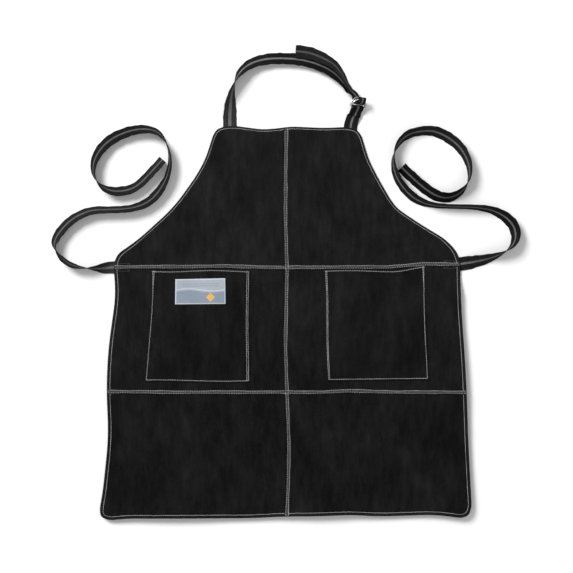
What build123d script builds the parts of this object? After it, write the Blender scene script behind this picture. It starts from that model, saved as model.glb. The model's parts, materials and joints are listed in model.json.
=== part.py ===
from build123d import *
import math
import os

# Welding apron lying flat, front side up. Millimetres, +Z up, +Y towards the neck.
# Origin: on the surface it lies on, below the middle of the apron with its neck loop.

# --- materials and layers -------------------------------------------------------------
LEATHER = 1.5            # split leather, also the height of the layer below the panels
WEBBING_WIDTH = 25.0
WEBBING = 1.4            # webbing thickness, a little under the leather's layer
THREAD = 0.4             # height of a stitch row above the leather
ROW_WIDTH = 1.0          # width of a stitch row
PANEL_TOP = 2 * LEATHER
CLEARANCE = 0.3          # gap between neighbours in the lower layer

# --- hems and seams -------------------------------------------------------------------
HEM_WIDTH = 12.0         # width of the leather turned under at the rim
HEM_ROW_INSET = 6.0      # the hem's stitch row, from the rim
SEAM_ROW = 3.0           # each of a seam's two rows, from the seam's middle
LAP = 4.5                # lapping edge, from the seam's middle
FLANGE = 5.5             # flange under the lap, beyond the seam's middle
FLANGE_HOLD = 3.0        # overlap that joins a flange to its own panel
CENTRE_X = 2.5
FAR = 600.0              # beyond every edge of the apron

UPPER_SEAM = [(-FAR, 27), (-200, 29), (-110, 30), (-20, 27.5), (190, 28.5), (260, 34), (FAR, 32)]
LOWER_SEAM = [(-FAR, -198), (-214, -203), (64, -203), (120, -200.5), (212, -203), (FAR, -202)]

# Rim of the leather, anticlockwise from the bib's top left corner.
RIM = [
    (-127, 283), (-134, 272), (-148, 228), (-165, 197), (-206, 139), (-271, 80), (-311, 52), (-318, 32),
    (-314, -25), (-328, -125), (-331, -200), (-327, -285), (-337, -380), (-343, -418), (-341, -433),
    (-325, -439), (-290, -435.5), (-60, -435), (-10, -432), (60, -431), (120, -428.5), (175, -432),
    (275, -428.5), (325, -434.5), (338, -429), (343, -413), (337, -300), (333, -180), (323, -30),
    (323, 38), (315, 59), (295, 80), (245, 110), (207, 136), (193, 154), (168, 198), (153, 228),
    (140, 272), (131, 283), (112, 287), (72, 285), (10, 288), (-18, 284), (-45, 282.5), (-92, 289),
    (-113, 288),
]

# --- pockets and label ----------------------------------------------------------------
POCKET_MOUTH = 22.0            # just below the bib's lapping edge
POCKET_BOTTOM = -184.5
LEFT_POCKET_X = (-249.0, -66.0)
RIGHT_POCKET_X = (71.0, 259.0)
LEFT_POCKET_FLARE = 12.0       # how much further out the left pocket's foot lies than its mouth
POCKET_MARGIN = 9.0            # flat sewn margin
POCKET_SLOPE = 27.0            # rise from the margin to the crown, seen from above
POCKET_DEPTH = 6.0             # room inside the pocket
POCKET_ROW = 3.0               # stitch row, from the pocket's edge
POCKET_ROW_PAIR = 5.5          # second row along the inner side
LABEL_CENTRE = (-157.0, -17.0)
LABEL_SIZE = (92.0, 47.0)
LABEL = 0.8                    # woven label thickness
LABEL_ROW_INSET = 2.0

# --- rings ----------------------------------------------------------------------------
WIRE = 3.0                     # ring wire diameter
RING_HALF = 14.0               # half the ring's width, to the middle of the wire
RING_CORNER = 3.0
RING_ORIGIN = (132.3, 323.6, 8.6)   # middle of the back ring's straight bar
RING_LEAN = 6.0                # lean of the buckle to the right, seen from above
RING_ROLL = 20.0               # its left side stands up by this angle
BACK_RING_TILT = 10.0
FRONT_RING_TILT = 34.0
FRONT_BAR = (-1.5, 2.95)       # front ring's bar in the buckle's own (y, z)

# --- neck loop ------------------------------------------------------------------------
FOLD_Y = 294.0                 # fold line of the neck loop, just beyond the bib's top edge
FLEX_GAP = 1.7                 # webbing left out each side of a fold or flex point
NECK_X = -103.0
TAB_X = 119.5
STRAP_TAIL_Y = 258.0           # sewn ends reach down to here under the bib
GATHERED = 12.0                # width of the webbing where it is gathered in the rings
NARROW_TAB = 21.0

# Each route point is x, y, roll (0 flat, 90 on edge), lift above the surface, width.
NECK_ROUTE = [
    (-103, 300, 5, 0, 25), (-102.5, 322, 28, 0, 25), (-100.5, 344, 58, 0, 25), (-95, 366, 90, 0, 25),
    (-84, 388, 125, 0, 25), (-65, 404, 142, 0, 25), (-36, 412.5, 150, 0, 25), (-3, 413.5, 165, 0, 25),
    (30, 411, 173, 0, 25), (58, 403.5, 174, 0, 25), (83, 392, 165, 0, 25), (100, 379, 145, 0, 24),
    (113, 364, 122, 0, 20), (123, 353, 138, 1.5, 16),
]
# The free end comes back over the strap, from the rings outwards.
TAIL_ROUTE = [
    (124.8, 354.5, 42, 3.2, 16), (115.5, 366.5, 56, 1.5, 20), (102.5, 383, 34, 0.4, 24),
    (87, 399.5, 12, 1.2, 25), (66, 413.5, 4, 1.5, 25), (42, 425, 3, 2.1, 25), (18.5, 426.5, 2, 2.7, 25),
]
# The tab's foot leans over from the fold line to the buckle: x, y, height, width.
TAB_FOOT = [
    (119.5, 295.7, 0.7, 25), (121.5, 299, 2.0, 24.6), (124.8, 302.7, 3.2, 24), (128.2, 306.2, 4.5, 23),
]

# The webbing's line through the rings, in the buckle's own (y, z).
STRAP_LOOP = [(21, -2.1), (7.8, -2.1), (7.8, 16.4), (16.5, 16.4), (16.4, 10), (10.2, -0.3), (21, -0.3)]
STRAP_LOOP_RADII = [2.5, 3.8, 3.8, 3.0, 1.6]
STRAP_SPREAD = (8.0, 14.0, 14.0)    # length over which the webbing widens again, and each end's width
TAB_LOOP = [(-14, -2.55), (2.6, -2.55), (2.6, 5.5), (-4, 5.5), (-11, -0.7), (-17, -0.72)]
TAB_LOOP_RADII = [2.5, 2.5, 3.0, 4.0]
TAB_SPREAD = (6.0, 22.5, 22.5)

# --- waist ties -----------------------------------------------------------------------
# Each tie's sewn end, then its loops: x, y, roll.
LEFT_TIE_ROOT = [(-292, 28.5, 0), (-321, 27.7, 0)]
LEFT_TIE_ROUTE = [
    (-343, 25.6, -50), (-366, 25.5, -90), (-391, 29, -110), (-411, 41, -108), (-424, 58, -85), (-427, 76, -50),
    (-413, 98, -42), (-392, 118, -45), (-360, 133, -52), (-324, 133.5, -59), (-286, 135, -58), (-256, 145, -50),
    (-235, 164, -52), (-217, 194, -67), (-211.5, 226, -73), (-218, 256, -88), (-235, 278, -112),
    (-262, 283.5, -128), (-293, 278, -136), (-325, 263, -141), (-348, 238, -128), (-356.5, 208, -110),
    (-348, 184, -90), (-330, 169.5, -62), (-304, 166.5, -48), (-276, 174, -52), (-250, 200, -50),
    (-226.6, 226.3, -52),
]
RIGHT_TIE_ROOT = [(292, 29.5, 0), (329, 34.6, 0)]
RIGHT_TIE_ROUTE = [
    (352, 38.5, 30), (381, 45.5, 55), (411, 58.5, 90), (425, 76, 118), (424.5, 99, 136), (410, 119, 136),
    (381, 134.5, 118), (346, 139, 107), (305, 139.5, 105), (268, 142, 110), (240, 152.5, 125),
    (217.5, 173, 124), (202, 199, 116), (197, 228, 98), (205, 254, 72), (224, 273, 56), (249, 279.5, 54),
    (275, 280, 47), (303, 266.5, 44), (326, 246, 52), (340, 216, 69), (339.5, 188, 86), (325, 166, 116),
    (301, 154.5, 132), (275, 160, 139), (242, 185, 138), (214.2, 212.4, 135),
]
LEFT_FLEX = (-366.0, 25.5)     # where each tie stands on edge and flexes
RIGHT_FLEX = (411.0, 58.5)
END_ROOM = 0.6                 # room round a sewn end in the lower layer
LEFT_TIE_ROOM = (14.4, -291.0, 41.6)     # low y, inner x, high y of the left tie's room under the hem
RIGHT_TIE_ROOM = (16.4, 289.0, 47.1)     # the same for the right tie, which leaves at a slant
TACK = (24.0, 14.0)            # length and height of a tie's tacking stitches
TACK_MIDDLE = {"left": (-300.0, 27.5), "right": (305.0, 32.5)}

# --- resolution of the ribbons --------------------------------------------------------
STATION = 7.0                  # largest step between the cross-sections of a lying ribbon
LOOP_STATION = 1.2             # the same round the rings
SEARCH_STEPS = 2000            # steps used to find a spot along a route


# --- helpers --------------------------------------------------------------------------
def corner_radii(points):
    """The largest arcs that each corner's two runs allow."""
    radii = []
    for before, at, after in zip(points, points[1:], points[2:]):
        run_in = at - before
        run_out = after - at
        half_turn = math.radians(run_in.get_angle(run_out)) / 2
        shorter = min(run_in.length, run_out.length)
        radii.append(0.45 * shorter / math.tan(half_turn))
    return radii


def blend_value(lengths, values, at):
    """Value at a length, straight between the nearest two route points."""
    for (low, low_value), (high, high_value) in zip(zip(lengths, values), zip(lengths[1:], values[1:])):
        if at <= high:
            return low_value + (high_value - low_value) * (at - low) / (high - low)
    return values[-1]


def rest_height(roll, width):
    """Height of the webbing's middle when its lower edge touches the surface."""
    tilt = math.radians(roll)
    return width / 2 * abs(math.sin(tilt)) + WEBBING / 2 * abs(math.cos(tilt))


def route_stations(route, start=0.0, end=None):
    """Cross-sections along a route that lies on the surface: middle, side, heading, width."""
    points = [Vector(x, y) for x, y, *_ in route]
    path = FilletPolyline(*points, radius=corner_radii(points)).wire()
    runs = [0.0]
    for a, b in zip(points, points[1:]):
        runs.append(runs[-1] + (b - a).length)
    scale = path.length / runs[-1]
    lengths = [run * scale for run in runs]
    rolls = [point[2] for point in route]
    lifts = [point[3] if len(point) > 3 else 0.0 for point in route]
    widths = [point[4] if len(point) > 4 else WEBBING_WIDTH for point in route]
    end = path.length if end is None else end
    count = math.ceil((end - start) / STATION)
    stations = []
    for i in range(count + 1):
        at = start + (end - start) * i / count
        middle = path.position_at(at, position_mode=PositionMode.LENGTH)
        heading = path.tangent_at(at, position_mode=PositionMode.LENGTH)
        roll = blend_value(lengths, rolls, at)
        width = blend_value(lengths, widths, at)
        left = Vector(-heading.Y, heading.X)
        side = left * math.cos(math.radians(roll)) + Vector(0, 0, math.sin(math.radians(roll)))
        height = rest_height(roll, width) + blend_value(lengths, lifts, at)
        stations.append((middle + Vector(0, 0, height), side, heading, width))
    return stations


def path_length_to(route, spot):
    """Length along a route to its point nearest a spot."""
    points = [Vector(x, y) for x, y, *_ in route]
    path = FilletPolyline(*points, radius=corner_radii(points)).wire()
    steps = [path.length * i / SEARCH_STEPS for i in range(SEARCH_STEPS + 1)]
    target = Vector(*spot)
    return min(steps, key=lambda s: (path.position_at(s, position_mode=PositionMode.LENGTH) - target).length)


def loop_stations(loop, radii, width, spread_ends):
    """Cross-sections along a loop in the buckle's own frame, wider again towards its two ends."""
    frame = buckle_frame()
    path = FilletPolyline(*[Vector(0, y, z) for y, z in loop], radius=radii).wire()
    spread, first, last = spread_ends
    count = math.ceil(path.length / LOOP_STATION)
    stations = []
    for i in range(count + 1):
        at = path.length * i / count
        middle = path.position_at(at, position_mode=PositionMode.LENGTH)
        heading = path.tangent_at(at, position_mode=PositionMode.LENGTH)
        here = width + (first - width) * max(0.0, 1 - at / spread)
        here += (last - width) * max(0.0, 1 - (path.length - at) / spread)
        turned = frame.from_local_coords(heading) - frame.from_local_coords(Vector(0, 0, 0))
        stations.append((frame.from_local_coords(middle), -frame.x_dir, turned, here))
    return stations


def ribbon(stations):
    """A flat-faced solid of webbing through a list of cross-sections."""
    rings = []
    for middle, side, heading, width in stations:
        across = side.normalized() * (width / 2)
        up = side.cross(heading).normalized() * (WEBBING / 2)
        rings.append([middle + across + up, middle - across + up, middle - across - up, middle + across - up])
    faces = []
    for low, high in zip(rings, rings[1:]):
        # The broad faces share the direction of their diagonals, which keeps a twist's thickness even.
        for k, j in ((0, 1), (1, 2), (3, 2), (3, 0)):
            faces.append(Face(Wire.make_polygon([low[k], low[j], high[j]])))
            faces.append(Face(Wire.make_polygon([low[k], high[j], high[k]])))
    faces.append(Face(Wire.make_polygon(rings[0])))
    faces.append(Face(Wire.make_polygon(rings[-1])))
    return Solid(Shell(faces))


def station_length(stations):
    """Length of a ribbon's middle line."""
    return sum((b[0] - a[0]).length for a, b in zip(stations, stations[1:]))


def buckle_frame():
    """The buckle's own frame: x along the rings' bars, y from bars to arcs, z out of the rings."""
    turned = Location(RING_ORIGIN, (0, 0, -RING_LEAN)) * Location((0, 0, 0), (0, RING_ROLL, 0))
    return Plane(turned)


def slab(face, bottom, height):
    """A flat piece of the given outline."""
    return extrude(Pos(0, 0, bottom) * face, height)


def below(seam, offset):
    """Everything below a seam line moved up by an offset."""
    top = [(x, y + offset) for x, y in seam]
    return make_face(Polyline(*top, (FAR, -FAR), (-FAR, -FAR), close=True))


def above(seam, offset):
    """Everything above a seam line moved up by an offset."""
    bottom = [(x, y + offset) for x, y in seam]
    return make_face(Polyline(*bottom, (FAR, FAR), (-FAR, FAR), close=True))


def span(x0, x1):
    """An upright strip of the ground plane between two x values."""
    return Pos((x0 + x1) / 2, 0) * Rectangle(x1 - x0, 2 * FAR)


def box_area(x0, y0, x1, y1):
    return Pos((x0 + x1) / 2, (y0 + y1) / 2) * Rectangle(x1 - x0, y1 - y0)


def rim_face(inset=0.0):
    """The apron's outline in straight runs and tangent arcs, moved in by an inset."""
    points = [Vector(x, y) for x, y in RIM]
    radii = corner_radii([points[-1], *points, points[0]])
    face = make_face(FilletPolyline(*points, radius=radii, close=True))
    return offset(face, -inset) if inset else face


# --- leather panels -------------------------------------------------------------------
def sewn_end_areas():
    """Room in the lower layer for the sewn ends of the straps and ties."""
    half = WEBBING_WIDTH / 2 + END_ROOM
    low_left, inner_left, high_left = LEFT_TIE_ROOM
    low_right, inner_right, high_right = RIGHT_TIE_ROOM
    areas = [
        box_area(NECK_X - half, STRAP_TAIL_Y - END_ROOM, NECK_X + half, FAR),
        box_area(TAB_X - half, STRAP_TAIL_Y - END_ROOM, TAB_X + half, FAR),
        box_area(-FAR, low_left, inner_left, high_left),
        box_area(inner_right, low_right, FAR, high_right),
    ]
    return Sketch() + areas


def tier_area(tier):
    """The height range of one tier of panels, between its lapping edges."""
    area = span(-FAR, FAR)
    if tier != "skirt":
        area &= above(UPPER_SEAM if tier == "bib" else LOWER_SEAM, -LAP)
    if tier != "bib":
        area &= below(UPPER_SEAM if tier == "waist" else LOWER_SEAM, -LAP)
    return area


def leather_panel(side, tier):
    """One panel: its plate, the hem turned under its rim, and its flanges under the laps beside it."""
    rim, inner = rim_face(), rim_face(HEM_WIDTH)
    lap_x = CENTRE_X - LAP
    column = span(-FAR, lap_x) if side == "left" else span(lap_x, FAR)
    area = tier_area(tier) & column
    lower_layer = (rim - inner) & area
    if side == "left":
        lower_layer += inner & tier_area(tier) & span(lap_x - FLANGE_HOLD, CENTRE_X + FLANGE)
    if tier != "bib":
        seam = UPPER_SEAM if tier == "waist" else LOWER_SEAM
        band = below(seam, FLANGE) & above(seam, -LAP - FLANGE_HOLD)
        clear = span(-FAR, lap_x - FLANGE_HOLD - CLEARANCE)
        if side == "right":
            clear = span(CENTRE_X + FLANGE + CLEARANCE, FAR)
        lower_layer += inner & band & clear
    return slab(rim & area, LEATHER, LEATHER) + slab(lower_layer - sewn_end_areas(), 0, LEATHER)


# --- pockets --------------------------------------------------------------------------
def pocket_outline(side, inset=0.0, overrun=0.0):
    """A pocket's outline at an inset from its three sewn edges, run on past its mouth."""
    x0, x1 = LEFT_POCKET_X if side == "left" else RIGHT_POCKET_X
    flare = LEFT_POCKET_FLARE if side == "left" else 0.0
    top = POCKET_MOUTH + overrun
    corners = [(x0 + inset, top), (x1 - inset, top), (x1 - inset, POCKET_BOTTOM + inset)]
    corners.append((x0 + inset - flare, POCKET_BOTTOM + inset))
    return make_face(Polyline(*corners, close=True))


def pocket_shell(side, thickness):
    """The raised body of a pocket, or the room inside it when thickness is zero."""
    foot = POCKET_MARGIN - thickness
    base = Pos(0, 0, PANEL_TOP) * pocket_outline(side, foot, POCKET_MARGIN)
    crown_height = PANEL_TOP + POCKET_DEPTH + thickness
    crown = Pos(0, 0, crown_height) * pocket_outline(side, foot + POCKET_SLOPE, POCKET_MARGIN)
    return loft([base.face(), crown.face()], ruled=True)


def pocket(side):
    """A patch pocket, sewn flat on three sides and standing clear of the panel inside them."""
    margin = slab(pocket_outline(side), PANEL_TOP, LEATHER)
    mouth_cut = Pos(0, POCKET_MOUTH + FAR / 2, 0) * Box(2 * FAR, FAR, 4 * FAR)
    body = margin + pocket_shell(side, LEATHER)
    return body - pocket_shell(side, 0.0) - mouth_cut


def label():
    """The woven label on the left pocket's crown."""
    crown = PANEL_TOP + POCKET_DEPTH + LEATHER
    return Pos(*LABEL_CENTRE, crown + LABEL / 2) * Box(*LABEL_SIZE, LABEL)


# --- stitching ------------------------------------------------------------------------
def seam_rows(seam, area):
    """The two rows of a level seam, kept to an area."""
    rows = Sketch()
    for middle in (-SEAM_ROW, SEAM_ROW):
        rows += above(seam, middle - ROW_WIDTH / 2) & below(seam, middle + ROW_WIDTH / 2)
    return rows & area


def centre_rows():
    rows = Sketch()
    for middle in (CENTRE_X - SEAM_ROW, CENTRE_X + SEAM_ROW):
        rows += span(middle - ROW_WIDTH / 2, middle + ROW_WIDTH / 2)
    return rows


def hem_row():
    """The hem's row all round the rim."""
    return rim_face(HEM_ROW_INSET - ROW_WIDTH / 2) - rim_face(HEM_ROW_INSET + ROW_WIDTH / 2)


def pocket_rows(side):
    """Rows down both sides and along the foot, the inner side sewn twice."""
    x0, x1 = LEFT_POCKET_X if side == "left" else RIGHT_POCKET_X
    sides = pocket_outline(side, POCKET_ROW) - pocket_outline(side, POCKET_ROW + ROW_WIDTH, FAR / 2)
    second_x = x1 - POCKET_ROW_PAIR - ROW_WIDTH if side == "left" else x0 + POCKET_ROW_PAIR
    second = box_area(second_x, POCKET_BOTTOM + POCKET_ROW + ROW_WIDTH, second_x + ROW_WIDTH, POCKET_MOUTH)
    return slab(sides + second, PANEL_TOP + LEATHER, THREAD)


def label_rows():
    width, height = LABEL_SIZE
    inset = 2 * LABEL_ROW_INSET
    frame = Rectangle(width - inset, height - inset)
    frame -= Rectangle(width - inset - 2 * ROW_WIDTH, height - inset - 2 * ROW_WIDTH)
    crown = PANEL_TOP + POCKET_DEPTH + LEATHER + LABEL
    return slab(Pos(*LABEL_CENTRE) * frame, crown, THREAD)


def tack_area(side, inset=0.0):
    """The rectangle that a tie's tacking stitches enclose."""
    length, height = TACK
    return Pos(*TACK_MIDDLE[side]) * Rectangle(length - 2 * inset, height - 2 * inset)


def tie_tack(side):
    """Tacking stitches at the waist corner, through the hem and the tie's sewn end."""
    return tack_area(side) - tack_area(side, ROW_WIDTH)


# --- rings ----------------------------------------------------------------------------
def d_ring(bar, tilt):
    """A welded wire D-ring with its straight bar at a place in the buckle's frame, arc tilted up."""
    straight = RING_HALF - RING_CORNER
    middle = Vector(0, RING_CORNER, 0)
    top = middle + Vector(0, RING_HALF, 0)
    bottom = Line((-straight, 0), (straight, 0))
    right = RadiusArc((straight, 0), (RING_HALF, RING_CORNER), -RING_CORNER)
    arc = ThreePointArc((RING_HALF, RING_CORNER), top, (-RING_HALF, RING_CORNER))
    left = RadiusArc((-RING_HALF, RING_CORNER), (-straight, 0), -RING_CORNER)
    outline = Wire([bottom.edge(), right.edge(), arc.edge(), left.edge()])
    section = Plane(origin=(0, 0, 0), x_dir=(0, 1, 0), z_dir=(1, 0, 0)) * Circle(WIRE / 2)
    ring = sweep(Pos(-straight, 0, 0) * section, path=outline)
    y, z = bar
    return buckle_frame().location * Pos(0, y, z) * Rot(tilt, 0, 0) * ring


# --- straps ---------------------------------------------------------------------------
def sewn_strap_end(x):
    """The stub of a strap under the bib's hem, up to the fold line."""
    top = FOLD_Y - FLEX_GAP
    return Pos(x, (STRAP_TAIL_Y + top) / 2, WEBBING / 2) * Box(WEBBING_WIDTH, top - STRAP_TAIL_Y, WEBBING)


def neck_strap():
    """The free strap: up from the fold line, round to the rings, through them and back over itself."""
    first = route_stations(NECK_ROUTE)
    loop = loop_stations(STRAP_LOOP, STRAP_LOOP_RADII, GATHERED, STRAP_SPREAD)
    tail = route_stations(TAIL_ROUTE)
    start = (Vector(NECK_X, FOLD_Y + FLEX_GAP, WEBBING / 2), Vector(-1, 0, 0), Vector(0, 1, 0), WEBBING_WIDTH)
    return [start] + first + loop + tail


def buckle_tab():
    """The tab: up from the fold line, round both rings' bars and back down on itself."""
    flat, turned = Vector(-1, 0, 0), -buckle_frame().x_dir
    foot = []
    for i, (x, y, height, width) in enumerate(TAB_FOOT):
        share = i / len(TAB_FOOT)
        foot.append((Vector(x, y, height), flat * (1 - share) + turned * share, Vector(0, 1, 0), width))
    return foot + loop_stations(TAB_LOOP, TAB_LOOP_RADII, NARROW_TAB, TAB_SPREAD)


def tie(root, route, flex):
    """A tie's sewn end and its free length, parted at its flex point."""
    whole = root + route
    at = path_length_to(whole, flex)
    return route_stations(whole, 0.0, at - FLEX_GAP), route_stations(whole, at + FLEX_GAP)


def build():
    """Every node of the apron by name."""
    nodes = {}
    for tier in ("bib", "waist", "skirt"):
        for side in ("left", "right"):
            nodes[f"{tier}_panel_{side}"] = leather_panel(side, tier)
    for side in ("left", "right"):
        nodes[f"{side}_pocket"] = pocket(side)
        nodes[f"{side}_pocket_thread"] = pocket_rows(side)
    nodes["label"] = label()
    nodes["label_thread"] = label_rows()

    rim = rim_face()
    tacked = tack_area("left") + tack_area("right")
    inside = rim_face(HEM_ROW_INSET + ROW_WIDTH) - tacked
    level = {"upper_seam_thread": UPPER_SEAM, "lower_seam_thread": LOWER_SEAM}
    crossings = Sketch()
    for name, seam in level.items():
        rows = seam_rows(seam, inside)
        crossings += rows
        nodes[name] = slab(rows, PANEL_TOP, THREAD)
    nodes["centre_seam_thread"] = slab((centre_rows() & inside) - crossings, PANEL_TOP, THREAD)
    nodes["hem_thread"] = slab(hem_row() - tacked, PANEL_TOP, THREAD)
    for side in ("left", "right"):
        nodes[f"{side}_tie_tack"] = slab(tie_tack(side) & rim, PANEL_TOP, THREAD)

    nodes["back_d_ring"] = d_ring((0, 0), BACK_RING_TILT)
    nodes["front_d_ring"] = d_ring(FRONT_BAR, FRONT_RING_TILT)
    nodes["neck_strap_end"] = sewn_strap_end(NECK_X)
    nodes["buckle_tab_end"] = sewn_strap_end(TAB_X)
    ribbons = {"neck_strap": neck_strap(), "buckle_tab": buckle_tab()}
    ribbons["left_tie_end"], ribbons["left_tie"] = tie(LEFT_TIE_ROOT, LEFT_TIE_ROUTE, LEFT_FLEX)
    ribbons["right_tie_end"], ribbons["right_tie"] = tie(RIGHT_TIE_ROOT, RIGHT_TIE_ROUTE, RIGHT_FLEX)
    for name, stations in ribbons.items():
        nodes[name] = ribbon(stations)
        length = station_length(stations)
        share = nodes[name].volume / (length * WEBBING_WIDTH * WEBBING)
        print(f"{name}: length {length:.1f} mm, volume over section times length {share:.3f}")
    return nodes


def print_radii():
    """The arcs of each route, for the record."""
    routes = {"neck": NECK_ROUTE, "tail": TAIL_ROUTE, "left tie": LEFT_TIE_ROOT + LEFT_TIE_ROUTE}
    routes["right tie"] = RIGHT_TIE_ROOT + RIGHT_TIE_ROUTE
    for name, route in routes.items():
        radii = corner_radii([Vector(x, y) for x, y, *_ in route])
        print(f"{name} radii:", " ".join(f"{radius:.0f}" for radius in radii))


os.makedirs("parts", exist_ok=True)
print_radii()
for name, shape in build().items():
    export_step(shape, f"parts/{name}.step")
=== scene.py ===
import json
import math

import bmesh
import bpy
import numpy as np
from mathutils import Matrix, Vector
from mathutils.geometry import delaunay_2d_cdt


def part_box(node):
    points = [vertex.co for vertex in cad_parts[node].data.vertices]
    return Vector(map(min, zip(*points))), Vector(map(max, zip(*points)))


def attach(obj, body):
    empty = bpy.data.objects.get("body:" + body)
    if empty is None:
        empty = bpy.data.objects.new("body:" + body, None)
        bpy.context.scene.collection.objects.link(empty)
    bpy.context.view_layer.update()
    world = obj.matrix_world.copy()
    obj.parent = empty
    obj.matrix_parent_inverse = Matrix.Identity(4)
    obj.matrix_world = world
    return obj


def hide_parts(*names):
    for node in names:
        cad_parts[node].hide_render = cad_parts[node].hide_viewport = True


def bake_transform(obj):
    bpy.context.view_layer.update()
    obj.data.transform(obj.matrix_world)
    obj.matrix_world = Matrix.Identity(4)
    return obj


# The looks of a welding apron that lies flat, front side up. Metres, +Z up, +Y towards the neck.
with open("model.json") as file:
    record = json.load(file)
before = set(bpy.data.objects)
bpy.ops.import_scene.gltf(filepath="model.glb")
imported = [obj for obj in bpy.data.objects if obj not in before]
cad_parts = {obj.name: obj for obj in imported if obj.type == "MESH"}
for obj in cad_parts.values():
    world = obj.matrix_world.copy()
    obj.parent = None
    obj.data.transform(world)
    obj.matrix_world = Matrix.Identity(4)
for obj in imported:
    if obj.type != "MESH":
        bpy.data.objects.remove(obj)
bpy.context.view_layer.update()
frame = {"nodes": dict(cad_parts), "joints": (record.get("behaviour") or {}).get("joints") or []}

MM = 0.001
LEATHER = 1.5 * MM
PANEL_TOP = 3.0 * MM
HEM_ROW = 6 * MM                # the hem's stitch row, from the rim
SEAM_ROW = 2.2 * MM             # each of a seam's two rows, from its middle
LAP = 4.5 * MM                  # lapping edge, from the seam's middle
WEBBING = 1.4 * MM
GRID = 4.2 * MM                 # spacing of the points inside a leather panel
TOUCHING = 0.08 * MM            # edges closer than this are shared by two panels
FAR = 1.0                       # stands for the distance to an edge that isn't there

TIERS = ("bib", "waist", "skirt")
SIDES = ("left", "right")


# --- small helpers --------------------------------------------------------------------
def smooth(low, high, x):
    t = np.clip((np.asarray(x, float) - low) / (high - low), 0, 1)
    return t * t * (3 - 2 * t)


def bump(x, middle, half_width):
    """1 at the middle, falling smoothly to 0 at half a width either side."""
    return np.clip(1 - ((np.asarray(x, float) - middle) / half_width) ** 2, 0, 1) ** 2


def segments_distance(points, segments):
    """Distance from each 2-D point to the nearest of many segments."""
    best = np.full(len(points), np.inf)
    for a, b in segments:
        along = b - a
        t = np.clip(((points - a) @ along) / (along @ along), 0, 1)
        gap = points - a - t[:, None] * along
        best = np.minimum(best, np.hypot(gap[:, 0], gap[:, 1]))
    return best


def resample(points, spacing, closed=False):
    """Points at even spacing along a polyline of any dimension."""
    points = np.asarray(points, float)
    if closed:
        points = np.vstack([points, points[:1]])
    run = np.concatenate([[0], np.cumsum(np.linalg.norm(np.diff(points, axis=0), axis=1))])
    count = max(2, round(run[-1] / spacing))
    at = np.linspace(0, run[-1], count + 1)
    if closed:
        at = at[:-1]
    return np.stack([np.interp(at, run, points[:, k]) for k in range(points.shape[1])], 1)


def directions(points, closed=False):
    """Unit heading at each point of a polyline."""
    if closed:
        d = np.roll(points, -1, 0) - np.roll(points, 1, 0)
    else:
        d = np.gradient(points, axis=0)
    return d / np.linalg.norm(d, axis=1)[:, None]


def new_mesh(name, verts, faces, material):
    mesh = bpy.data.meshes.new(name)
    mesh.from_pydata([tuple(v) for v in verts], [], [tuple(f) for f in faces])
    mesh.materials.append(material)
    mesh.polygons.foreach_set("use_smooth", [True] * len(mesh.polygons))
    mesh.update()
    piece = bpy.data.objects.new(name, mesh)
    bpy.context.scene.collection.objects.link(piece)
    return piece


def set_attribute(piece, name, values):
    attribute = piece.data.attributes.new(name, "FLOAT", "POINT")
    attribute.data.foreach_set("value", np.asarray(values, np.float32))


def outward(piece):
    """Turns every face of a closed piece outward."""
    shape = bmesh.new()
    shape.from_mesh(piece.data)
    bmesh.ops.recalc_face_normals(shape, faces=shape.faces)
    shape.to_mesh(piece.data)
    shape.free()


# --- materials ------------------------------------------------------------------------
class Nodes:
    """A material's nodes, made one call each."""

    def __init__(self, name):
        self.material = bpy.data.materials.new(name)
        self.material.use_nodes = True
        self.tree = self.material.node_tree
        self.shader = self.tree.nodes["Principled BSDF"]

    def add(self, kind, inputs=(), **settings):
        node = self.tree.nodes.new(kind)
        for key, value in settings.items():
            setattr(node, key, value)
        for socket, value in dict(inputs).items():
            self.put(node.inputs[socket], value)
        return node

    def put(self, socket, value):
        if isinstance(value, bpy.types.NodeSocket):
            self.tree.links.new(value, socket)
        else:
            socket.default_value = value

    def math(self, operation, a, b=0.0, c=0.0):
        node = self.add("ShaderNodeMath", {0: a, 1: b, 2: c}, operation=operation)
        return node.outputs[0]

    def noise(self, scale, vector, detail=4.0, roughness=0.6):
        values = {"Scale": scale, "Vector": vector, "Detail": detail, "Roughness": roughness}
        return self.add("ShaderNodeTexNoise", values).outputs["Fac"]

    def ramp(self, value, stops):
        node = self.add("ShaderNodeValToRGB", {"Fac": value})
        ramp = node.color_ramp
        while len(ramp.elements) < len(stops):
            ramp.elements.new(0.5)
        for element, (position, colour) in zip(ramp.elements, stops):
            element.position = position
            element.color = (*colour, 1) if len(colour) == 3 else colour
        return node.outputs["Color"]

    def mix(self, share, a, b):
        node = self.add("ShaderNodeMix", data_type="RGBA")
        self.put(node.inputs["Factor"], share)
        self.put(node.inputs[6], a)
        self.put(node.inputs[7], b)
        return node.outputs[2]

    def stretch(self, vector, scale):
        return self.add("ShaderNodeMapping", {"Vector": vector, "Scale": scale}).outputs[0]

    def bump(self, height, strength, distance, normal=None):
        values = {"Height": height, "Strength": strength, "Distance": distance}
        node = self.add("ShaderNodeBump", values)
        if normal is not None:
            self.put(node.inputs["Normal"], normal)
        return node.outputs[0]

    def object_place(self):
        return self.add("ShaderNodeTexCoord").outputs["Object"]

    def attribute(self, name):
        return self.add("ShaderNodeAttribute", attribute_name=name).outputs["Fac"]

    def weave_place(self):
        """The weave map and its two parts."""
        uv = self.add("ShaderNodeUVMap", uv_map="weave").outputs[0]
        parts = self.add("ShaderNodeSeparateXYZ", {0: uv})
        return uv, parts.outputs[0], parts.outputs[1]

    def surface(self, colour, roughness, normal):
        """Sets what varies over the surface, and gives the material."""
        self.put(self.shader.inputs["Base Color"], colour)
        self.put(self.shader.inputs["Roughness"], roughness)
        self.put(self.shader.inputs["Normal"], normal)
        return self.material


def grey(value):
    return (value, value, value, 1)


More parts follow.
